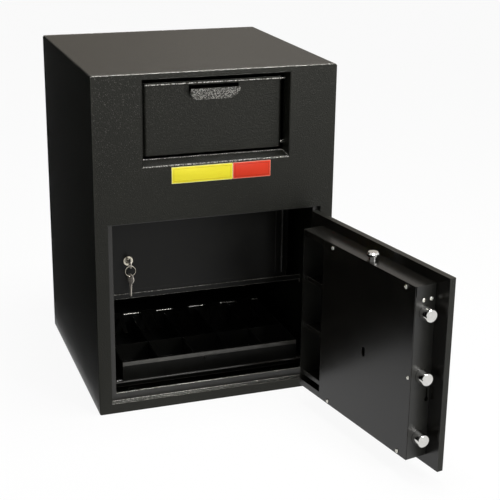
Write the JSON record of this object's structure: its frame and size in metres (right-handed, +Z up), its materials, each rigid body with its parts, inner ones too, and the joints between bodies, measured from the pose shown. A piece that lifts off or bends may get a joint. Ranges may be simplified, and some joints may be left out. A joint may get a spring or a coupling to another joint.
{
  "type": "depository safe",
  "caption": "Front-loading depository safe with a tip-out hopper, a bolted plate door, an inner key-locked locker and a till tray.",
  "frame": {"origin": "centre of the body footprint, on the floor", "axes": "+X to the right seen from the front, +Y to the back, +Z up; the door opens on the -Y side"},
  "size_m": [0.5623, 0.9702, 0.711],
  "materials": {
    "textured_coat": "textured black powder coat, satin",
    "smooth_paint": "smooth black paint, semi-gloss",
    "zinc_steel": "bright zinc plate",
    "chromed_steel": "polished chrome plate",
    "nickel_plate": "nickel plate, satin",
    "tray_plastic": "moulded black plastic, fine grain",
    "lock_casting": "die cast, matt",
    "dial_plastic": "moulded black, gloss"
  },
  "bodies": {
    "body": {"body_shell": "textured_coat", "back_panel": "textured_coat", "front_panel": "textured_coat", "door_frame": "textured_coat", "hopper_surround": "textured_coat", "hopper_rod": "zinc_steel", "hopper_guard": "smooth_paint", "deposit_chute": "smooth_paint", "locker_floor": "smooth_paint", "locker_side_left": "smooth_paint", "locker_side_right": "smooth_paint", "locker_front": "smooth_paint", "inner_hinge_frame_leaf": "smooth_paint", "inner_hinge_pin": "zinc_steel", "till_shelf": "smooth_paint", "lower_hinge_body_half": "textured_coat", "upper_hinge_body_half": "textured_coat"},
    "hopper": {"hopper_face": "textured_coat", "hopper_floor": "smooth_paint"},
    "inner_door": {"inner_door": "smooth_paint", "inner_hinge_door_leaf": "smooth_paint", "inner_lock_body": "nickel_plate"},
    "inner_lock": {"inner_lock_plug": "nickel_plate", "inner_lock_cam": "zinc_steel", "key_in_lock": "nickel_plate"},
    "key_ring": {"key_ring": "nickel_plate"},
    "spare_key": {"spare_key": "nickel_plate"},
    "till": {"till_tray": "tray_plastic", "clip_rod": "zinc_steel"},
    "clip_1": {"note_clip_1": "tray_plastic"},
    "clip_2": {"note_clip_2": "tray_plastic"},
    "clip_3": {"note_clip_3": "tray_plastic"},
    "clip_4": {"note_clip_4": "tray_plastic"},
    "clip_5": {"note_clip_5": "tray_plastic"},
    "door": {"door_plate": "smooth_paint", "bolt_box": "smooth_paint", "back_cover": "smooth_paint", "lower_hinge_door_half": "textured_coat", "upper_hinge_door_half": "textured_coat", "rack_shelf_1": "smooth_paint", "rack_shelf_2": "smooth_paint", "rack_shelf_3": "smooth_paint", "lock_case": "lock_casting", "dial_ring": "chromed_steel", "cover_screw_1": "zinc_steel", "cover_screw_2": "zinc_steel", "cover_screw_3": "zinc_steel", "cover_screw_4": "zinc_steel", "cover_screw_5": "zinc_steel", "side_screw_1": "zinc_steel", "side_screw_2": "zinc_steel"},
    "bolt_work": {"bolt_bar": "zinc_steel", "lower_bolt": "chromed_steel", "middle_bolt": "chromed_steel", "upper_bolt": "chromed_steel"},
    "top_bolt": {"top_bolt": "chromed_steel"},
    "handle": {"handle": "chromed_steel", "handle_cam": "zinc_steel"},
    "dial": {"dial": "dial_plastic"}
  },
  "joints": [
    {"name": "main_door", "type": "hinge", "parent": "body", "child": "door", "pos_m": [0.226, -0.268, 0.217], "axis": [0, 0, 1], "range_deg": [-100.6, 15]},
    {"name": "bolt_bar", "type": "slide", "parent": "door", "child": "bolt_work", "axis": [-0.184, 0.9829, 0], "range_m": [-0.022, 0]},
    {"name": "handle", "type": "hinge", "parent": "door", "child": "handle", "pos_m": [0.29197, -0.60257, 0.213], "axis": [-0.9829, -0.184, 0], "range_deg": [-50, 0]},
    {"name": "top_bolt", "type": "slide", "parent": "door", "child": "top_bolt", "axis": [0, 0, 1], "range_m": [0, 0.016]},
    {"name": "dial", "type": "hinge", "parent": "door", "child": "dial", "pos_m": [0.26835, -0.53069, 0.229], "axis": [-0.9829, -0.184, 0], "continuous": true},
    {"name": "inner_door", "type": "hinge", "parent": "body", "child": "inner_door", "pos_m": [0.2003, -0.105, 0.306], "axis": [0, 0, 1], "range_deg": [0, 75]},
    {"name": "inner_lock", "type": "hinge", "parent": "inner_door", "child": "inner_lock", "pos_m": [-0.152, -0.1, 0.279], "axis": [0, 1, 0], "range_deg": [-90, 0]},
    {"name": "key_ring", "type": "hinge", "parent": "inner_lock", "child": "key_ring", "pos_m": [-0.152, -0.125, 0.2736], "axis": [0, 1, 0], "range_deg": [-20, 20]},
    {"name": "spare_key", "type": "hinge", "parent": "key_ring", "child": "spare_key", "pos_m": [-0.152, -0.125, 0.2516], "axis": [0, 1, 0], "range_deg": [-20, 20]},
    {"name": "hopper", "type": "hinge", "parent": "body", "child": "hopper", "pos_m": [0, -0.218, 0.548], "axis": [1, 0, 0], "range_deg": [0, 55]},
    {"name": "till_slide", "type": "slide", "parent": "body", "child": "till", "axis": [0, -1, 0], "range_m": [0, 0.045]},
    {"name": "note_clip_1", "type": "hinge", "parent": "till", "child": "clip_1", "pos_m": [-0.1464, 0.066, 0.0843], "axis": [-1, 0, 0], "range_deg": [0, 70]},
    {"name": "note_clip_2", "type": "hinge", "parent": "till", "child": "clip_2", "pos_m": [-0.0677, 0.066, 0.0843], "axis": [-1, 0, 0], "range_deg": [0, 70]},
    {"name": "note_clip_3", "type": "hinge", "parent": "till", "child": "clip_3", "pos_m": [0.011, 0.066, 0.0843], "axis": [-1, 0, 0], "range_deg": [0, 70]},
    {"name": "note_clip_4", "type": "hinge", "parent": "till", "child": "clip_4", "pos_m": [0.0897, 0.066, 0.0843], "axis": [-1, 0, 0], "range_deg": [0, 70]},
    {"name": "note_clip_5", "type": "hinge", "parent": "till", "child": "clip_5", "pos_m": [0.1684, 0.066, 0.0843], "axis": [-1, 0, 0], "range_deg": [0, 70]}
  ],
  "couplings": [
    {"joint": "handle", "follows": "bolt_bar", "rad_per_m": 39.66},
    {"joint": "top_bolt", "follows": "bolt_bar", "ratio": -0.7272}
  ]
}
